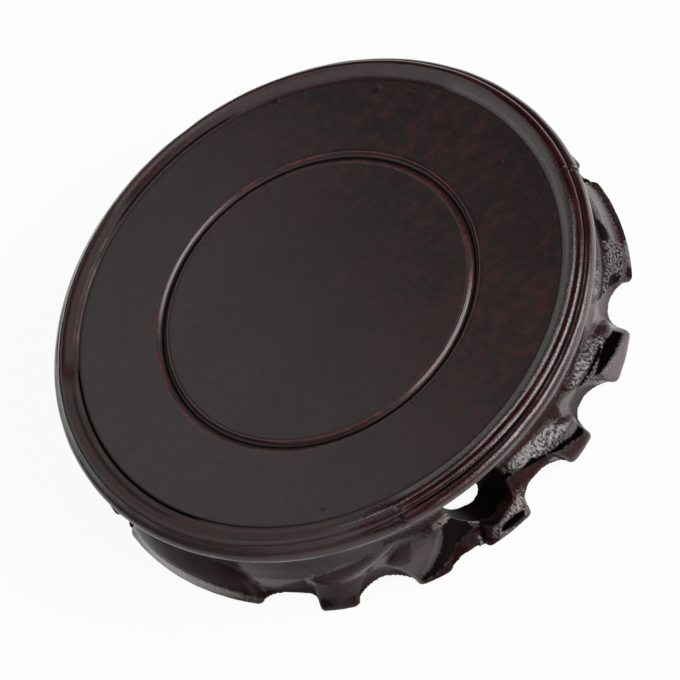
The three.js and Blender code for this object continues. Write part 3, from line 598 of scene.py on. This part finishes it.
# Carved ring. Each leg is a bulging leaf that leans away from the eye and ends in a flared toe; between the
# legs the face is hollowed, and an arch is cut below.
ring = {
    "neckRadius": 70.6,     # face just under the rim
    "innerRadius": 61.5,    # inner wall
    "backRadius": 66,       # row of points on the top, between the two
    "wallTaper": 4.0,       # how far the inner wall leans out at the foot
    "taperHeight": 13.1,    # and from what height down
    "toeCorner": 0.9,       # how far a leg's borders are eased back
    "cornerSpan": 1.1,      # over so many degrees
    "drift": 0.8,           # toes on the right reach further out, those on the left less
    "reachHeight": 6.7,     # the reach fades out up to this height
    "archPower": 2.3,       # 2 is an ellipse, more is squarer
    "archColumns": 42,
    "legStep": 0.22,        # degrees between the columns of a leg
    "rows": 84,             # points up the face
    "crowding": 1.12,       # above 1 they lie closer together below
    "toolMarks": 0.05,      # ripples of the carving tool
    "eyeRadii": (64.5, 72.5),   # where the back and front outlines of the eye lie
    "voxel": 0.32,          # mesh size of the carved skin
    "softening": (0.5, 7),  # factor and steps
    "levels": (1.55, 7.55, 13.1),   # heights of the toe, waist and head borders below
    # height, distance in front of the neck
    "legFace": [(0, 5.9), (0.55, 6.5), (1.3, 6.5), (2.7, 5.7), (4.2, 4.8), (6.4, 4.4), (8.9, 4.5),
                (11.1, 4.2), (13.3, 2.7), (15.3, 0.8), (17.8, 0.1), (22.2, 0)],
    "plainFace": [(0, 5.9), (0.55, 6.4), (1.3, 6.4), (2.7, 5.9), (4.2, 5.3), (6.4, 4.5), (8.9, 3.6),
                  (11.1, 2.7), (13.3, 1.7), (15.3, 0.8), (17.8, 0.1), (22.2, 0)],
    "hollowFace": [(0, 6.3), (1.55, 5.3), (3.0, 3.4), (4.4, 2.3), (6.4, 1.6), (8.9, 1.2), (12.0, 0.9),
                   (15.3, 0.4), (17.8, 0.1), (22.2, 0)],
    # Borders at the three levels; reach; rise and place of the arch that follows; how much lower the shoulder
    # lies at the first and the last border; how much higher the toe's front stands there; share of the plain
    # face; power of the bulge across, where 2 is round and more is squarer
    "legColumns": ("toe", "waist", "head", "reach", "rise", "top", "shoulder", "front", "plain", "power"),
    "legs": [
        ((1.5, 27.5), (3, 31.5), (13, 38), 0, 5.3, 0.6, (0.5, 0), (1.0, 0.2), 0, 2.8),
        ((38.7, 50.2), (38.9, 53.3), (46.5, 59), -0.2, 5.4, 0.6, (2.6, -0.6), (0, 1.6), 0, 2.8),
        ((61.7, 68.9), (61.3, 71), (67.5, 80), -0.3, 4.4, 0.52, (2.8, -0.9), (0, 1.4), 0, 2.8),
        ((80.9, 91.6), (81, 89.5), (80.8, 88.5), 0.5, 1.8, 0.45, (0, 0), (1.2, 0.4), 0, 2.8),
        ((99.3, 106.8), (93, 111.5), (95, 105.5), 0.8, 3.9, 0.5, (-0.6, 2.0), (1.2, 0), 0.8, 1.7),
        ((118.8, 127), (114, 128), (107, 113), 1.3, 3.5, 0.3, (-0.6, 2.2), (0, 0), 1, 1.3),
        ((139.5, 176.5), (141.5, 176.5), (147, 174), -0.2, 2.2, 0.5, (0, 0), (0.4, 1.6), 1, 1.9),
    ],
    # outlines of the eye, as bearing and height
    "eyeFront": [(88.6, 4.3), (93.0, 9.8), (94.4, 16.5), (91.2, 20.4), (83.4, 20.4), (80.4, 16), (80.8, 9.8),
                 (83.6, 6.0)],
    "eyeBack": [(89.4, 3.7), (94.2, 6.2), (95.6, 14.6), (92.0, 20.4), (86.6, 20.4), (84.9, 16), (84.8, 9.5),
                (86.2, 5.3)],
    # hollow of the scroll: half sizes inwards, along and up; millimetres for a degree at its radius
    "scroll": {"bearing": 84.9, "height": 2.4, "reach": 6.9, "size": (1.6, 4.2, 1.3), "arcLength": 1.33},
    # carved lines: bearing and height of the ends, width, height above the face
    "lines": [
        [(14, 12.7), (38, 12.6), 0.45, -0.45], [(25.5, 11.5), (22.5, 4.0), 0.9, 0.35],
        [(29.5, 11.5), (27.2, 4.5), 0.9, 0.4], [(5.6, 11.5), (2.6, 3.6), 0.6, 0.5],
        [(47, 10.3), (57.5, 12.0), 0.4, -0.5], [(66.5, 8.2), (74.5, 12.0), 0.6, -0.35],
        [(94.8, 13.8), (97.6, 12.6), 0.5, 0.35], [(97.6, 12.6), (106, 2.4), 0.5, 0.3],
        [(141.3, 4), (143.6, 12), 0.6, 0.3], [(143.6, 12), (148, 13.8), 0.6, 0.25],
    ],
    "dull": [(8, 22, 0.5), (72, 34, 0.45), (130, 22, 0.75)],    # matt stretches: bearing, width, strength
    # kinds of facet: the depths inside its outline between which it fades in, and how ragged its border is
    "fades": {"dark": (-0.4, 0.15, 0.18), "pale": (-0.6, 0.6, 0.2), "maroon": (-0.6, 0.3, 0.3),
              "speckled": (-0.4, 0.3, 0), "rubbedAndHighlit": (-0.3, 0.5, 0.3), "lumpy": (-0.8, 0.8, 0)},
    # facets, as a strength and an outline of bearing and height: painted shade, matt and nearly black
    "dark": [
        (0.9, [(24.6, 2.2), (27, 2.4), (27, 0), (25.6, 0)]),
        (0.95, [(16.5, 12.4), (22.5, 12.3), (22, 10), (20, 8.6), (18.3, 10)]),
        (0.95, [(31, 10.8), (33.8, 10.6), (30.8, 6.6), (28.6, 3.8), (27.4, 3.8), (28.6, 8.2)]),
        (0.7, [(18, 12.9), (37, 12.9), (37, 12.3), (18, 12.2)]),
        (1, [(40.3, 2.8), (40.9, 5.6), (44.2, 9.0), (47, 9.9), (50.5, 9.6), (53, 8.6), (51.0, 6.4),
             (45.8, 4.7)]),
        (1, [(46, 10.3), (57, 12.2), (57.4, 11.6), (47, 9.7)]),
        (1, [(62.3, 2.8), (62.4, 5.0), (65, 5.8), (68, 7.8), (71.5, 9.8), (74.5, 12.2), (81, 12.7),
             (81.5, 10.8), (76.5, 10.6), (72.5, 8.4), (69.5, 6.2), (66, 4.8), (63.5, 3.2)]),
        (0.93, [(91.8, 5), (92.2, 9), (93.2, 11.5), (95, 12.6), (97.0, 12.5), (97.7, 10), (100, 6.5),
                (103, 3.8), (105.8, 2.3), (105.5, 1.5), (102, 2.4), (97.5, 3.9)]),
    ],
    # dull and dark red
    "maroon": [
        (0.9, [(-6, 12), (0, 12), (-2, 4), (-6, 4)]),
        (0.97, [(0.5, 3.7), (10, 4.0), (20.5, 3.1), (18.5, 1.2), (17.5, 0), (-1, 0)]),
        (0.9, [(44, 15.2), (62, 15.6), (62, 13.8), (58, 13.9), (52, 14.4), (45, 14.6)]),
        (0.85, [(61.5, 16.2), (83, 16.2), (83, 14.9), (74, 14.7), (66, 13.4), (63.5, 10), (62.6, 12)]),
        (0.9, [(70.5, 5), (73, 8.2), (76.5, 10.4), (80, 10.6), (83.6, 8), (84, 6.2), (80.5, 5.6), (76, 5)]),
        (0.7, [(63, 3.4), (68.8, 5), (68.8, 2.6), (64, 1.8)]),
        (0.75, [(94, 16.4), (109, 16.2), (109, 14.4), (101, 14.0), (98, 13.6)]),
        (0.6, [(104, 12.6), (110, 11), (110, 7), (106, 7.5)]),
        (0.9, [(96, 4), (102, 2.2), (105.5, 1.2), (105, 0), (99, 0), (95, 2.4)]),
        (0.9, [(88.5, 4.4), (92, 5), (91.6, 0), (88, 0), (90, 2.4)]),
    ],
    # painted reflection, paler where they face the pale room, and the pale sawn strip along the lower edge of
    # the leg from 140 to 176 degrees
    "pale": [
        (0.75, [(0.3, 12), (3.6, 12), (2.0, 4), (-1.0, 4)]),
        (0.3, [(3.5, 12), (19, 12.2), (20, 4.6), (3, 4.4)]),
        (0.6, [(17, 2.6), (25, 2.4), (24.5, 0), (18.2, 0)]),
        (0.55, [(12, 14.8), (44, 15.6), (46, 13.4), (38, 12.9), (14, 12.9)]),
        (0.9, [(34, 10.4), (37, 12.2), (42, 12.4), (41, 9), (40.3, 2.4), (39, 2), (38.6, 9), (37, 10.8)]),
        (0.95, [(40.4, 2.4), (45.8, 4.4), (50.6, 6.2), (50.8, 2), (50.2, 0), (39, 0), (39, 2)]),
        (0.8, [(50.6, 2), (52.4, 6.6), (54.6, 9.4), (58, 11.8), (62.6, 12.8), (63, 9), (62, 6), (60, 9.4),
               (56, 9.2), (52.6, 4)]),
        (0.35, [(62.6, 4.6), (63.4, 9), (66, 11.2), (66.5, 7.4), (64.6, 5.6)]),
        (0.5, [(107, 14), (120, 11.4), (127.5, 8), (114, 8), (109, 11)]),
        (0.6, [(62.4, 0), (68.6, 0), (68.6, 1.6), (62.4, 1.6)]),
        (1, [(80.6, 5.6), (84, 5.6), (89, 4.2), (90, 2.6), (88.6, 1.2), (80.8, 1.4)]),
        (1, [(91.6, 12), (93.5, 14.6), (98.4, 14.6), (98.6, 13.2), (95.5, 12.5), (93, 11.6)]),
        (0.25, [(97.6, 12.4), (104, 12.4), (107, 8), (107, 4.2), (105.6, 2.8), (100.6, 6.6)]),
        (0.7, [(108.5, 11.6), (113.5, 9), (114, 6.8), (111, 7), (109.6, 9)]),
        (0.7, [(126, 9.2), (128.6, 8), (128.4, 6), (127, 6)]),
        (0.55, [(129, 7.8), (140.6, 7.8), (140, 4.8), (136, 4.6)]),
        (1, [(140, 1.8), (146, 3.2), (151, 4.2), (158, 4.9), (166, 4.3), (172, 3.9), (176, 3.4), (176, 1.4),
             (160, 1.6), (150, 1.6)]),
    ],
    # spotted with painted shade and painted highlight
    "speckled": [
        (0.8, [(66.5, 11), (70, 12.2), (80.5, 12.9), (81.4, 11), (77, 9.8), (73, 8.2), (69.6, 6.4)]),
        (1, [(17, 12.4), (36, 12.2), (30.5, 6), (27, 3.2), (21, 3.6)]),
        (1, [(0.5, 3.7), (10, 4.0), (20.5, 3.1), (18.5, 1.2), (17.5, 0), (-1, 0)]),
    ],
    # rubbed paler in patches, with painted highlights on the eye's lip and above the scroll's hollow
    "rubbedAndHighlit": [
        (0.9, [(91.6, 12), (93.5, 14.6), (98.4, 14.6), (98.6, 13.2), (95.5, 12.5), (93, 11.6)]),
        (0.8, [(80.6, 5.6), (84, 5.6), (88, 4.4), (86, 3.9), (82, 3.9), (80.8, 2.4)]),
        (0.5, [(0.8, 12), (3.2, 12), (1.8, 4.5), (-0.6, 4.5)]),
        (0.9, [(141, 2.2), (146, 3.3), (151, 4.2), (158, 4.8), (166, 4.2), (172, 3.8), (172, 2.2), (150, 2)]),
    ],
    # coarsely pebbled, and spotted with painted shade
    "lumpy": [
        (1, [(18, 12.6), (37, 12.6), (33, 8), (28, 3), (20, 3.4)]),
        (1, [(44, 14.4), (59, 14.6), (59, 11), (54, 9), (44, 9)]),
        (0.9, [(64, 12.4), (68, 14), (81, 14.6), (82, 12.6), (76, 10), (70, 7.6), (65.5, 7)]),
        (1, [(79, 6.5), (91, 5), (91, 1), (80, 1)]),
        (0.8, [(92, 14.6), (98.6, 14.2), (98, 11.5), (92, 11.5)]),
        (0.7, [(-1, 3.8), (26, 3), (26, 0), (-1, 0)]),
    ],
}


def dome(s, power):
    # superellipse over s from 0 to 1: 1 less |2s - 1| to the power, the whole to 1 over the power
    return (1 - abs(2 * s - 1) ** power) ** (1 / power)


def legColumns():
    # columns across each leg and the arch that follows it: bearings at the three levels, share of the leaf,
    # reach, height of the lower edge, shoulder and front shifts, share of the plain face
    legs = [dict(zip(ring["legColumns"], leg)) for leg in ring["legs"]]
    borders = ("toe", "waist", "head")
    columns = []
    for turn in (0, 180):
        for k, leg in enumerate(legs):
            after, more = (legs[k + 1], turn) if k + 1 < len(legs) else (legs[0], turn + 180)
            low, high = [np.array([leg[border][side] + turn for border in borders]) for side in (0, 1)]
            following = np.array([after[border][0] + more for border in borders])
            for s in np.linspace(0, 1, max(30, int((high[0] - low[0]) / ring["legStep"]))):
                ends = min(s, 1 - s) * (high[0] - low[0])
                corner = ring["toeCorner"] * max(0, 1 - ends / ring["cornerSpan"]) ** 2
                shifts = [leg[key][0] + (leg[key][1] - leg[key][0]) * s for key in ("shoulder", "front")]
                columns.append([*(low + (high - low) * s), dome(s, leg["power"]), leg["reach"] - corner, 0,
                                *shifts, leg["plain"]])
            for u in np.linspace(0, 1, ring["archColumns"])[1:-1]:
                t = (1 - math.cos(math.pi * u)) / 2     # closer together beside the legs
                s = t ** (math.log(0.5) / math.log(leg["top"]))     # shifts the top of the arch
                corner = ring["toeCorner"] * (1 - min(1, 8 * min(t, 1 - t)))
                reach = leg["reach"] + (after["reach"] - leg["reach"]) * t - corner
                edge = leg["rise"] * dome(s, ring["archPower"])
                columns.append([*(high + (following - high) * t), 0, reach, edge, 0, 0, 0])
    return np.array(columns).T


def faceRadius(bearing, z, share, reach, shoulder, front, plain):
    # Neck radius, plus the faces of leaf and hollow mixed by the share, plus the reach, which fades upwards.
    # The leaf's face is read higher up where its shoulder is lower, and lower down where its front is higher.
    lift = shoulder * smoothStep(5, 9.5, z) * smoothStep(20, 12, z)
    drop = front * smoothStep(0.8, 4.2, z) * smoothStep(11, 6, z)
    leaf = smoothCurve(ring["legFace"], z + lift - drop)
    leaf = leaf * (1 - plain) + smoothCurve(ring["plainFace"], z) * plain
    face = smoothCurve(ring["hollowFace"], z) * (1 - share) + leaf * share
    drift = ring["drift"] * np.cos(np.radians(bearing))
    return ring["neckRadius"] + face + (reach + drift) * np.clip(1 - z / ring["reachHeight"], 0, 1)


def carvedLine(bearing, z, start, end, width):
    # bell curve of the distance to the line between two points of the face
    x, y = around(bearing, start[0], 180) * arcLength, z - start[1]
    dx, dy = (end[0] - start[0]) * arcLength, end[1] - start[1]
    t = np.clip((x * dx + y * dy) / (dx * dx + dy * dy), 0, 1)
    return np.exp(-((x - t * dx) ** 2 + (y - t * dy) ** 2) / width ** 2)


def makeRing():
    # A closed band of columns. Each runs up the face from the lower edge to the top and down the inner wall,
    # and its bearing slides from the toe's border over the waist's to the head's.
    toe, waist, head, share, reach, edge, shoulder, front, plain = legColumns()[:, :, None]
    edge = np.maximum(edge, 0.02)
    rows, top, wall, taper = ring["rows"], stand["ringHeight"], ring["innerRadius"], ring["taperHeight"]
    z = edge + (top - edge) * np.linspace(0, 1, rows)[None, :] ** ring["crowding"]
    lean = ring["wallTaper"] * (1 - edge / taper)
    foot = wall + lean
    zero = 0 * edge
    allLevels = np.hstack([z, zero + top, zero + top, zero + taper, (taper + edge) / 2, edge, edge, edge])
    heights = [0, *ring["levels"], top]
    stops = [toe, toe, waist, head, head]
    bearing = np.zeros_like(allLevels)
    for k in range(4):
        below, above = heights[k:k + 2]
        steady = np.clip((allLevels - below) / (above - below), 0, 1)
        t = smoothStep(below, above, allLevels) * 0.3 + steady * 0.7
        inside = (allLevels >= below) & (allLevels <= above)
        bearing = np.where(inside, stops[k] + (stops[k + 1] - stops[k]) * t, bearing)
    faceBearing = bearing[:, :rows]
    radius = faceRadius(faceBearing, z, share, reach, shoulder, front, plain)
    for start, end, width, height in ring["lines"]:
        radius = radius + height * carvedLine(faceBearing, z, start, end, width)
    bumpy = 0.3 + 0.7 * hump(around(faceBearing, 45, 180), 0, 50)
    radius = radius + ring["toolMarks"] * bumpy * waves(21, 16, 0.3, 1.4, faceBearing * arcLength, z)
    bottom = radius[:, :1]
    allRadii = np.hstack([radius, zero + ring["backRadius"], zero + wall, zero + wall, wall + 0.5 * lean,
                          foot, (foot * 2 + bottom) / 3, (foot + bottom * 2) / 3])
    quads = gridFaces(*allRadii.shape, wrapRows=True, wrapColumns=True)
    mesh = makeMesh("ringWhole", polar(allRadii, bearing, allLevels), quads)
    outward(mesh)
    return mesh


def closedCurve(points, steps=12):
    # Catmull-Rom curve: half of 2b + (c - a)t + (2a - 5b + 4c - d)t squared + (3b - a - 3c + d)t cubed, for
    # each point b with its neighbours a, c and d
    p = np.array(points, float)
    t = np.linspace(0, 1, steps, endpoint=False)[:, None]
    parts = []
    for k in range(len(p)):
        a, b, c, d = p[k - 1], p[k], p[(k + 1) % len(p)], p[(k + 2) % len(p)]
        square, cube = 2 * a - 5 * b + 4 * c - d, 3 * b - a - 3 * c + d
        parts.append(0.5 * (2 * b + (c - a) * t + square * t ** 2 + cube * t ** 3))
    return np.concatenate(parts)


def eyeCutter(turn):
    # straight lines through both outlines, carried on past them
    innerRadius, outerRadius = ring["eyeRadii"]
    front, back = closedCurve(ring["eyeFront"]), closedCurve(ring["eyeBack"])
    outer = polar(np.full(len(front), outerRadius), front[:, 0] + turn, front[:, 1])
    inner = polar(np.full(len(back), innerRadius), back[:, 0] + turn, back[:, 1])
    rows = np.stack([inner + (outer - inner) * t for t in (-0.5, 0.0, 0.5, 1.0, 1.8)])
    size = rows.shape[:2]
    return makeMesh("eyeCutter", rows, gridFaces(*size, wrapColumns=True), endCaps(*size))


def scrollCutter(turn):
    # ellipsoid: the half sizes times sines and cosines of two angles, bent round with the face
    scroll = ring["scroll"]
    theta, phi = np.meshgrid(np.linspace(0.02, math.pi - 0.02, 25),
                             np.linspace(0, 2 * math.pi, 48, endpoint=False), indexing="ij")
    ball = (np.sin(theta) * np.cos(phi), np.sin(theta) * np.sin(phi), np.cos(theta))
    inward, along, up = [size * part for size, part in zip(scroll["size"], ball)]
    bearing = scroll["bearing"] + turn + along / scroll["arcLength"]
    points = polar(ring["neckRadius"] + scroll["reach"] + inward, bearing, scroll["height"] + up)
    return makeMesh("scrollCutter", points, gridFaces(*theta.shape, wrapColumns=True), endCaps(*theta.shape))


def applyModifiers(piece):
    # the shape with its modifiers becomes the mesh
    bpy.context.view_layer.update()
    shaped = bpy.data.meshes.new_from_object(piece.evaluated_get(bpy.context.evaluated_depsgraph_get()))
    old = piece.data
    piece.modifiers.clear()
    piece.data = shaped
    bpy.data.meshes.remove(old)


def carveRing():
    # the eyes and scrolls are cut out, and a fine even skin softens the arrises
    whole = addObject("ringWhole", makeRing())
    for mesh in (eyeCutter(0), eyeCutter(180), scrollCutter(0), scrollCutter(180)):
        outward(mesh)
        cutter = addObject("cutter", mesh)
        cut = whole.modifiers.new("cut", "BOOLEAN")
        cut.operation = "DIFFERENCE"
        cut.solver = "MANIFOLD"
        cut.object = cutter
        applyModifiers(whole)
        bpy.data.objects.remove(cutter)
    remesh = whole.modifiers.new("skin", "REMESH")
    remesh.mode = "VOXEL"
    remesh.voxel_size = ring["voxel"] * mm
    soften = whole.modifiers.new("soften", "SMOOTH")
    soften.factor, soften.iterations = ring["softening"]
    applyModifiers(whole)
    return whole


def splitRing(whole):
    # each segment is what is left of the ring between two upright planes through its joints
    joints = stand["ringJoints"]
    for i in range(4):
        work = bmesh.new()
        work.from_mesh(whole.data)
        for bearing, side in ((joints[i], 1), (joints[(i + 1) % 4], -1)):
            b = math.radians(bearing)
            normal = Vector((math.sin(b), math.cos(b), 0)) * side   # points out of the segment
            result = bmesh.ops.bisect_plane(
                work, geom=work.verts[:] + work.edges[:] + work.faces[:], dist=1e-7, plane_co=(0, 0, 0),
                plane_no=normal, clear_outer=True)
            border = [e for e in result["geom_cut"] if isinstance(e, bmesh.types.BMEdge)]
            bmesh.ops.holes_fill(work, edges=border, sides=0)
        mesh = bpy.data.meshes.new(f"ringSegment{i + 1}")
        work.to_mesh(mesh)
        work.free()
        shadeSmooth(mesh)
        dressRing(mesh)
        addPiece(f"ringSegment{i + 1}", mesh, carvedLacquer, "carved_lacquer", f"ring_segment_{i + 1}")
    bpy.data.objects.remove(whole)


def depthInside(bearing, z, outline):
    # Distance to the nearest side of the outline, positive inside. A point is inside when a line from it
    # towards +x crosses the sides an odd number of times.
    p = np.array(outline, float)
    centre = p[:, 0].mean()
    x, y = around(bearing, centre, 180) * arcLength, z
    px, py = (p[:, 0] - centre) * arcLength, p[:, 1]
    within = np.zeros(x.shape, bool)
    nearest = np.full(x.shape, 1e9)
    for k in range(len(p)):
        ax, ay, bx, by = px[k - 1], py[k - 1], px[k], py[k]
        t = np.clip(((x - ax) * (bx - ax) + (y - ay) * (by - ay)) / ((bx - ax) ** 2 + (by - ay) ** 2), 0, 1)
        nearest = np.minimum(nearest, np.hypot(x - ax - t * (bx - ax), y - ay - t * (by - ay)))
        within ^= ((ay > y) != (by > y)) & (x < (bx - ax) * (y - ay) / (by - ay + 1e-12) + ax)
    return np.where(within, nearest, -nearest)


def marked(kind, bearing, z, specks):
    # greatest strength of the outlines of a kind, each times the smooth step of the depth inside it
    low, high, ragged = ring["fades"][kind]
    return np.max([strength * smoothStep(low, high, depthInside(bearing, z, outline) + ragged * specks)
                   for strength, outline in ring[kind]], 0)


def dressRing(mesh):
    # Points that stand proud of their neighbours are worn paler, and sunk ones get painted shade; the facets
    # and the painted shade in the eye follow their outlines, ragged by specks.
    co = vectors(mesh.vertices, len(mesh.vertices), "co") / mm
    normals = vectors(mesh.vertex_normals, len(mesh.vertices), "vector")
    ends = np.zeros(len(mesh.edges) * 2, np.int32)
    mesh.edges.foreach_get("vertices", ends)
    a, b = ends.reshape(-1, 2).T
    count = np.maximum(np.bincount(np.concatenate([a, b]), minlength=len(co)), 1)

    def neighbours(values):
        # sum over the points that share an edge with each point
        return np.bincount(a, values[b], len(co)) + np.bincount(b, values[a], len(co))

    # how far a point stands above the mean of its neighbours, evened out twice
    total = np.stack([neighbours(co[:, k]) for k in range(3)], 1)
    proud = ((co - total / count[:, None]) * normals).sum(1)
    for _ in range(2):
        proud = 0.5 * proud + 0.5 * neighbours(proud) / count
    bearing = np.degrees(np.arctan2(-co[:, 1], co[:, 0]))
    radius = np.hypot(co[:, 0], co[:, 1])
    z = co[:, 2]
    outwards = (normals[:, :2] * co[:, :2]).sum(1) / radius
    face = smoothStep(0.0, 0.25, outwards)      # 1 on the carved face, 0 on the inner wall
    # facets
    specks = waves(31, 28, 2.6, 7.5, bearing * arcLength, z)
    dark, pale, maroon, speckled, rubbedAndHighlit = [
        marked(kind, bearing, z, specks) * face for kind in ("dark", "pale", "maroon", "speckled", "rubbedAndHighlit")]
    lumpy = marked("lumpy", bearing, z, specks)
    rubbedAndHighlit = rubbedAndHighlit * smoothStep(0.9, 0.2, specks)
    # painted shade in some specks of the speckled and lumpy patches, painted highlight in others
    dark = np.maximum.reduce([dark, 0.9 * speckled * smoothStep(-0.2, 0.5, specks),
                              0.75 * lumpy * face * smoothStep(0.05, 0.8, specks)])
    pale = np.maximum(pale, 0.7 * speckled * smoothStep(0.1, 0.7, -specks) * (z > 3.4))
    # painted shade on the walls of the eye
    front, back = [depthInside(bearing, z, closedCurve(ring[key])) for key in ("eyeFront", "eyeBack")]
    offWall = radius > ring["innerRadius"] + 0.1
    aboveHollow = radius - ring["neckRadius"] - smoothCurve(ring["hollowFace"], z)
    through = smoothStep(-0.9, -0.4, np.maximum(front, back)) * smoothStep(-0.3, -0.9, aboveHollow) * offWall
    eyeWall = np.maximum(smoothStep(-0.2, 0.2, front), through) * offWall
    # painted shade in the hollow of the scroll
    scroll = ring["scroll"]
    along = around(bearing, scroll["bearing"], 180) * scroll["arcLength"] / scroll["size"][1]
    bowl = np.hypot(along, (z - scroll["height"]) / scroll["size"][2])
    bowl = smoothStep(1.05, 0.85, bowl) * face
    # painted shade on undersides and in sunk places, painted reflection on downward faces at the left, matt
    # stretches and worn arrises
    left = hump(around(bearing, 150), 0, 42)
    under = 0.5 * smoothStep(-0.4, -0.8, normals[:, 2]) * (1 - left)
    sunk = 0.6 * smoothStep(0.015, 0.05, -proud) * (1 - left)
    lowerEdge = 0.6 * hump(normals[:, 2], -0.5, 0.3) * face * left
    stretches = [strength * hump(bearing, middle, width) for middle, width, strength in ring["dull"]]
    dull = np.maximum.reduce([0.65 * left, 0.92 * smoothStep(138, 143, bearing), *stretches])
    besideScroll = hump(bearing, 92.4, 1.2) * (z < 4.6)     # the arch's end there is ragged and not rubbed
    worn = 0.8 * smoothStep(0.02, 0.07, proud) * (z > 0.4) * (1 - 0.6 * left) * (1 - besideScroll)
    setMarks(mesh, wear=np.maximum(worn, rubbedAndHighlit) * (1 - dark),
             grime=np.maximum.reduce([dark, 0.93 * eyeWall, bowl, sunk, under]),
             haze=np.maximum(pale, lowerEdge) * (1 - dark) * (1 - 0.8 * maroon),
             dull=np.maximum(dull * (1 - pale) * (1 - lumpy), maroon),
             lumpy=0.15 + 0.2 * hump(around(bearing, 40), 0, 50) + 0.65 * lumpy)


splitRing(carveRing())
print("ring carved")


# Floor and light
studio = {
    "floorSize": 4.0,
    "floorColour": "#f4f4f4",
    "floorWhite": 0.93,
    "worldStrength": 0.07,
    # lamps: place (metres), aim, width, height, radiance
    "lamps": {
        "softboxRight": [(0.72, -0.58, 0.5), (0, 0, 0.02), 1.3, 0.62, 6.5],
        "cardBehind": [(-0.3, 0.3, 0.43), (-0.3, 0.3, 0.0), 0.62, 0.62, 0.7],
        "softboxTop": [(0.1, -0.5, 1.5), (0, 0, 0.02), 1.0, 0.6, 1.2],
        "cardLeft": [(-0.57, -0.57, 0.2), (0, 0, 0.02), 0.7, 0.34, 0.6],
        "wallBehind": [(-0.2, 0.77, 0.075), (0, 0, 0.02), 0.56, 0.13, 3.5],
    },
}


def makeFloor():
    # matt pale sheet; the camera and mirrored rays see it nearly white, as it is in the picture
    side = studio["floorSize"] / 2
    corners = np.array([[-side, -side, 0], [side, -side, 0], [side, side, 0], [-side, side, 0]])
    mesh = makeMesh("floor", corners, np.array([[0, 1, 2, 3]]))
    material, tree, output = newMaterial("paleFloor")
    matt = addNode(tree, "ShaderNodeBsdfDiffuse", {"Color": linear(studio["floorColour"])})
    white = addNode(tree, "ShaderNodeEmission", {"Strength": 1.0})
    path = addNode(tree, "ShaderNodeLightPath").outputs
    mirrored = addNode(tree, "ShaderNodeMath", {
        0: path["Is Glossy Ray"], 1: path["Is Transmission Ray"]}, operation="MAXIMUM")
    seen = addNode(tree, "ShaderNodeMath", {0: path["Is Camera Ray"], 1: mirrored}, operation="MAXIMUM")
    share = addNode(tree, "ShaderNodeMath", {0: seen, 1: studio["floorWhite"]}, operation="MULTIPLY")
    surface = addNode(tree, "ShaderNodeMixShader", {0: share, 1: matt, 2: white})
    tree.links.new(surface.outputs["Shader"], output.inputs["Surface"])
    mesh.materials.append(material)
    addObject("floor", mesh)


def makeWorld():
    # faint even light from all round
    world = bpy.data.worlds.new("studio")
    bpy.context.scene.world = world
    world.use_nodes = True
    tree = world.node_tree
    tree.nodes.clear()
    dim = addNode(tree, "ShaderNodeBackground", {"Color": (1, 1, 1, 1), "Strength": studio["worldStrength"]})
    addNode(tree, "ShaderNodeOutputWorld", {"Surface": dim})


def makeLamps():
    # watts of a lamp = radiance times pi times its area
    for name, (place, aim, width, height, radiance) in studio["lamps"].items():
        data = bpy.data.lights.new(name, "AREA")
        data.shape = "RECTANGLE"
        data.size, data.size_y = width, height
        data.energy = radiance * math.pi * width * height
        lamp = addObject(name, data)
        lamp.location = place
        lamp.rotation_euler = (Vector(aim) - Vector(place)).to_track_quat("-Z", "Y").to_euler()


makeFloor()
makeWorld()
makeLamps()
print("floor, world and lamps made")
